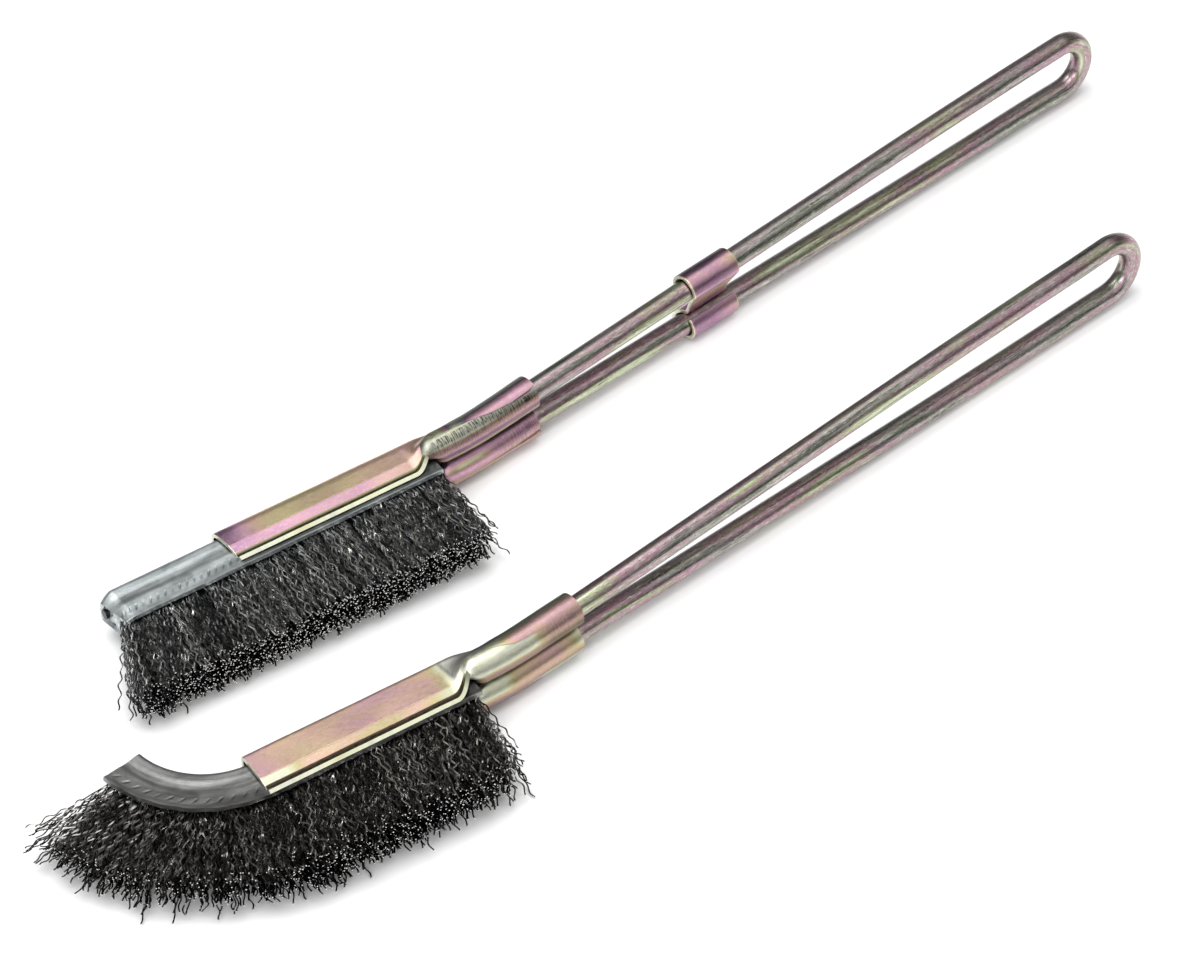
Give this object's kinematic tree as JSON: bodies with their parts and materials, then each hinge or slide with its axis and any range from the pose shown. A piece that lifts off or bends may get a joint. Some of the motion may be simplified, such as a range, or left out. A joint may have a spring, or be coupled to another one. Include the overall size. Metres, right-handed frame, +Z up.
{
  "type": "wire drum brush pair",
  "caption": "Pair of hand-held wire brushes for brake drums and callipers: folded steel bristles in a strip, a sheet holder and a hairpin rod handle; one straight, one with its tip bent.",
  "frame": {"origin": "centre of the pair's bounding box in x and y, on the table at z = 0", "axes": "+X from the bristles towards the handles, along the straight brush's strip; +Y from the curved brush towards the straight one, which is also away from the bristles; +Z up from the table that both brushes lie on"},
  "size_m": [0.26, 0.0926, 0.0164],
  "materials": {
    "zinc_rod": "steel rod, zinc plated and yellow passivated, worn and streaked grey, pink and olive",
    "zinc_sheet": "steel sheet, zinc plated and yellow passivated, shiny, purple, pink and gold",
    "galvanised_strip": "galvanised steel strip, light blue-grey, satin",
    "bare_strip": "bare steel strip, darker grey, satin",
    "bristle_wire": "crimped bare steel wire, dark grey, with bright glints and cut ends"
  },
  "bodies": {
    "straight_brush": {"straight_handle": "zinc_rod", "straight_holder": "zinc_sheet", "straight_clip": "zinc_sheet", "straight_strip": "galvanised_strip", "straight_core_wire": "bristle_wire", "straight_bristles_1": "bristle_wire", "straight_bristles_2": "bristle_wire", "straight_bristles_3": "bristle_wire", "straight_bristles_4": "bristle_wire", "straight_bristles_5": "bristle_wire", "straight_bristles_6": "bristle_wire", "straight_bristles_7": "bristle_wire", "straight_bristles_8": "bristle_wire"},
    "curved_brush": {"curved_handle": "zinc_rod", "curved_holder": "zinc_sheet", "curved_strip": "bare_strip", "curved_core_wire": "bristle_wire", "curved_bristles_1": "bristle_wire", "curved_bristles_2": "bristle_wire", "curved_bristles_3": "bristle_wire", "curved_bristles_4": "bristle_wire", "curved_bristles_5": "bristle_wire", "curved_bristles_6": "bristle_wire", "curved_bristles_7": "bristle_wire", "curved_bristles_8": "bristle_wire", "curved_bristles_9": "bristle_wire"}
  },
  "joints": [
    {"name": "curved_brush_lift", "type": "slide", "parent": "straight_brush", "child": "curved_brush", "axis": [0, 0, 1], "range_m": [0, 0.1]}
  ]
}
